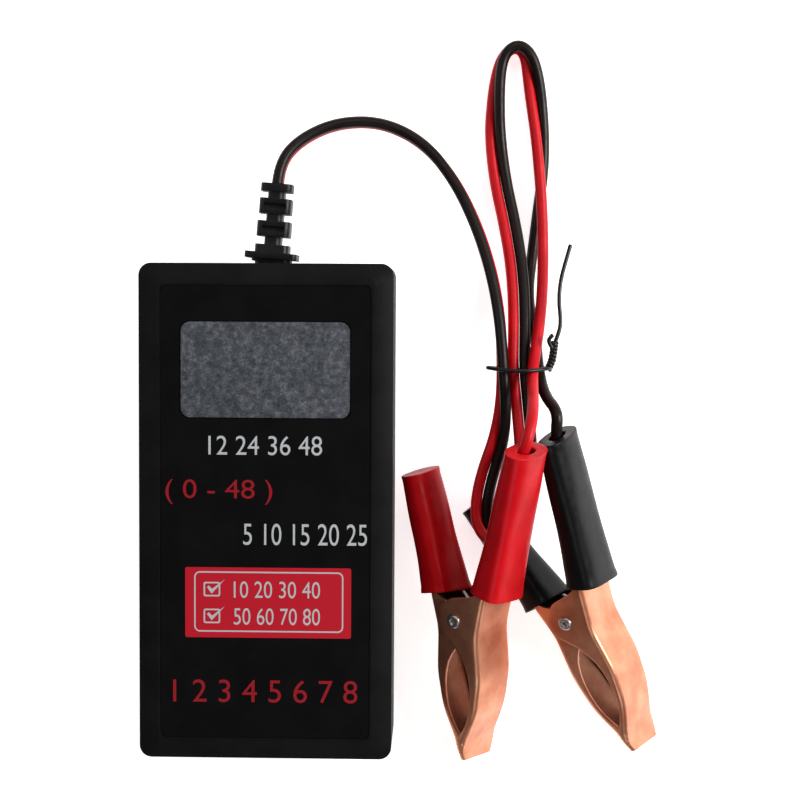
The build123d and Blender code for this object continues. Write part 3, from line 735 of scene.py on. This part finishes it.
def sleeve(colour, part, side, span, width, hole):
    """A soft sleeve: a rounded box section at the clip that turns oval where it ends."""
    clip = CLIPS[colour]
    start, end = span
    rows = []
    count = 46
    # the black free sleeve is slimmer, to turn clear of the folded lead
    taper = 2.2 if (colour, side) == ("black", -1) else 0.95
    for i in range(count + 1):
        t = i / count
        y = start + (end - start) * t
        waist = 0.35 * sin(pi * min(1.0, 1.3 * t)) ** 2
        deep = 4.25 - 0.65 * t - waist * 0.6
        broad = width / 2 + 0.55 - taper * t - waist
        lip = 0.22 * max(0.0, 1 - t * 16) + 0.16 * max(0.0, 1 - (1 - t) * 22)
        squareness = 2 / (3.6 - 1.3 * t)
        row = []
        for k in range(64):
            turn = 2 * pi * k / 64
            c, s = cos(turn), sin(turn)
            out = (deep + lip) * (abs(c) ** squareness) * (1 if c > 0 else -1)
            up = (broad + lip) * (abs(s) ** squareness) * (1 if s > 0 else -1)
            dent = 0.10 * sin(3.1 * turn + 9 * t) * sin(pi * t)
            # the mouth by the rivet is cut a little aslant, longer on the underside
            aslant = 1.3 * up / broad * max(0.0, 1 - 4 * t)
            point = clip.handle(side, y + aslant, out * (1 + dent * 0.12), up)
            point.z = max(point.z, 0.05)
            row.append(point)
        rows.append(row)
    # the outer end is drawn in round the wire, or shut where there is none
    middle = sum(rows[-1], Vector()) / len(rows[-1])
    for close in (0.86, 0.7, hole):
        rows.append([middle.lerp(p, close) for p in rows[-1 if close == 0.86 else count + 1]])
    node = f"{colour}_clip_{part}"
    piece = add_piece(f"{colour}_{part}_soft", grid_mesh(node, rows, True), node)
    modify(piece, "SOLIDIFY", thickness=0.85 * MM, offset=side)
    modify(piece, "BEVEL", width=0.2 * MM, segments=3, limit_method="ANGLE", angle_limit=radians(55))
    smooth(piece, 60)
    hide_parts(node)
    return piece


def turned(name, clip, profile, node, segments=48):
    """A shape turned about the rivet's line from (radius, height) pairs."""
    rows = []
    for radius, height in profile:
        rows.append([clip.at(radius * cos(2 * pi * k / segments), radius * sin(2 * pi * k / segments), height)
                     for k in range(segments)])
    piece = add_piece(name, grid_mesh(name, rows, True), node)
    tidy = bmesh.new()
    tidy.from_mesh(piece.data)
    bmesh.ops.remove_doubles(tidy, verts=tidy.verts, dist=1e-7)
    bmesh.ops.recalc_face_normals(tidy, faces=tidy.faces)
    tidy.to_mesh(piece.data)
    tidy.free()
    smooth(piece, 40)
    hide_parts(node)
    return piece


def rivet(colour):
    """A hollow rivet: rolled head with a dished middle on both faces."""
    face = CLIP_WIDTH / 2
    pin = 1.3
    rim = [
        (pin, face - 0.1),
        (1.72, face + 0.02),
        (1.8, face + 0.18),
        (1.74, face + 0.42),
        (1.5, face + 0.62),
        (1.15, face + 0.70),
        (0.85, face + 0.62),
        (0.66, face + 0.40),
        (0.58, face + 0.05),
        (0.55, face - 1.5),
    ]
    outer = [(pin, 0.0)] + rim
    profile = [(r, -h) for r, h in reversed(outer)] + outer
    turned(f"{colour}_rivet_pin", CLIPS[colour], profile + [profile[0]], f"{colour}_clip_rivet")


COIL_STEPS = 14
COIL_RADIUS = 3.0
COIL_PITCH = 1.1
LEG_END = 17.0
LEG_INSET = 0.8


def spring(colour, node, side, turns, level):
    """Close turns of wire round the rivet, ending in a leg along one handle."""
    clip = CLIPS[colour]
    points = []
    count = int(turns * COIL_STEPS)
    for k in range(count + 1):
        angle = 2 * pi * (1 - k / COIL_STEPS) if side > 0 else pi + 2 * pi * k / COIL_STEPS
        height = level - side * (count - k) / COIL_STEPS * COIL_PITCH
        points.append(clip.at(COIL_RADIUS * cos(angle), COIL_RADIUS * sin(angle), height))
    for t in (0.35, 0.7, 1.0):
        foot = Vector((side * COIL_RADIUS, 0.5))
        toe = Vector((side * (handle_x(LEG_END) - LEG_INSET), LEG_END))
        here = foot.lerp(toe, t)
        points.append(clip.at(here.x, here.y, level))
    curve_piece(f"{colour}_{node}_wire", [points], 0.5, f"{colour}_clip_{node}")


for colour, clip in CLIPS.items():
    clip_half(colour, "lead_half", 1, CLIP_WIDTH, LEAD_SLEEVE[0], 0.0)
    clip_half(colour, "free_half", -1, FREE_WIDTH, FREE_SLEEVE[0], 0.5)
    lead_sleeve = sleeve(colour, "lead_sleeve", 1, LEAD_SLEEVE, CLIP_WIDTH, 0.5)
    sleeve(colour, "free_sleeve", -1, FREE_SLEEVE, FREE_WIDTH, 0.03)
    rivet(colour)
    spring(colour, "spring", 1, 2.5, 1.65)
    spring(colour, "spring_end", -1, 0.9, -1.7)
    barrel = soften(f"{colour}_clip_crimp", 0.2)
    on_lead = [barrel, lead_sleeve]
    if colour == "red":
        on_lead += [tie, tie_ring]
    tuple(wire_route(colour)[0] * MM)


# ---------------------------------------------------------------- case, strain relief and small parts
soften("front_shell", 0.3)
soften("back_shell", 0.3)
soften("strain_relief", 0.35)
soften("display_window", 0.2)
soften("control_chip", 0.12)
soften("voltage_regulator", 0.15)
soften("load_resistors", 0.2)
soften("case_screws", 0.15)
soften("board_screws", 0.15)
soften("solder_terminals", 0.3)


# ---------------------------------------------------------------- printing on the label
LABEL_TOP = 24.95
INK = 0.03


def text_mesh(words):
    """Numbers as a flat mesh one unit high."""
    data = bpy.data.curves.new("numbers", "FONT")
    data.body = words
    holder = bpy.data.objects.new("numbers", data)
    scene.collection.objects.link(holder)
    graph = bpy.context.evaluated_depsgraph_get()
    mesh = bpy.data.meshes.new_from_object(holder.evaluated_get(graph))
    bpy.data.objects.remove(holder)
    return mesh


def add_numbers(shape, words, x0, x1, y0, y1, level=INK):
    """Numbers stretched to fill a rectangle of the label."""
    mesh = text_mesh(words)
    xs = [v.co.x for v in mesh.vertices]
    ys = [v.co.y for v in mesh.vertices]
    wide = (x1 - x0) / (max(xs) - min(xs))
    high = (y1 - y0) / (max(ys) - min(ys))
    for v in mesh.vertices:
        x = x0 + (v.co.x - min(xs)) * wide
        y = y0 + (v.co.y - min(ys)) * high
        v.co = Vector((x, y, LABEL_TOP + level)) * MM
    shape.from_mesh(mesh)


def rounded(x0, x1, y0, y1, radius):
    """Points round a rectangle with round corners."""
    points = []
    for cx, cy, turn in ((x1, y1, 0), (x0, y1, 1), (x0, y0, 2), (x1, y0, 3)):
        mx = cx - radius if cx == x1 else cx + radius
        my = cy - radius if cy == y1 else cy + radius
        for k in range(7):
            angle = (turn + k / 6) * pi / 2
            points.append((mx + radius * cos(angle), my + radius * sin(angle)))
    return points


def add_patch(shape, outline, level, hole=None):
    """A flat patch, or a band when it has a hole with as many points."""
    height = (LABEL_TOP + level) * MM
    outer = [shape.verts.new((x * MM, y * MM, height)) for x, y in outline]
    if hole is None:
        shape.faces.new(outer)
        return
    inner = [shape.verts.new((x * MM, y * MM, height)) for x, y in hole]
    for k in range(len(outer)):
        j = (k + 1) % len(outer)
        shape.faces.new((outer[k], outer[j], inner[j], inner[k]))


def print_piece(name, shape, finish, depth=INK):
    """Ink given a small thickness, lying on the label."""
    mesh = bpy.data.meshes.new(name)
    for face in shape.faces:
        if face.normal.z < 0:
            face.normal_flip()
    shape.to_mesh(mesh)
    shape.free()
    piece = add_piece(name, mesh, "front_label", finish)
    modify(piece, "SOLIDIFY", thickness=depth * MM, offset=-1)
    return piece


white = bmesh.new()
add_numbers(white, "12 24 36 48", -13.8, 13.9, 14.2, 18.9)
add_numbers(white, "5 10 15 20 25", -5.3, 24.9, -7.8, -2.5)
print_piece("white_numbers", white, WHITE_INK)

red = bmesh.new()
add_numbers(red, "( 0 - 48 )", -24.3, 1.8, 2.1, 8.2)
add_numbers(red, "1 2 3 4 5 6 7 8", -22.5, 22.7, -46.6, -41.0)
print_piece("red_numbers", red, RED_INK)

block = bmesh.new()
add_patch(block, rounded(-19.5, 21.1, -30.6, -13.3, 0.5), INK)
print_piece("red_block", block, BLOCK_INK)

white = bmesh.new()
BOX = (-17.3, 19.2, -29.2, -14.3)
BOX_CORNER = 1.4
LINE = 0.38
TICK_BOX = (-15.0, -10.9, 3.6)
TICK_LINE = 0.4
box_inside = (BOX[0] + LINE, BOX[1] - LINE, BOX[2] + LINE, BOX[3] - LINE)
add_patch(white, rounded(*BOX, BOX_CORNER), 2 * INK, rounded(*box_inside, BOX_CORNER - LINE))
for low, words in ((-20.5, "10 20 30 40"), (-27.1, "50 60 70 80")):
    left, right, high = TICK_BOX
    frame_outside = rounded(left, right, low, low + high, 0.5)
    frame_inside = rounded(
        left + TICK_LINE, right - TICK_LINE, low + TICK_LINE, low + high - TICK_LINE, 0.25
    )
    add_patch(white, frame_outside, 2 * INK, frame_inside)
    tick = [(-14.2, low + 2.3), (-13.0, low + 0.7), (-9.7, low + 4.3), (-12.9, low + 1.9), (-13.7, low + 2.7)]
    add_patch(white, tick, 3 * INK)
    add_numbers(white, words, -7.6, 13.5, low - 0.3, low + 3.8, 2 * INK)
print_piece("block_marks", white, WHITE_INK, 2 * INK)


# ---------------------------------------------------------------- close
bpy.context.view_layer.update()
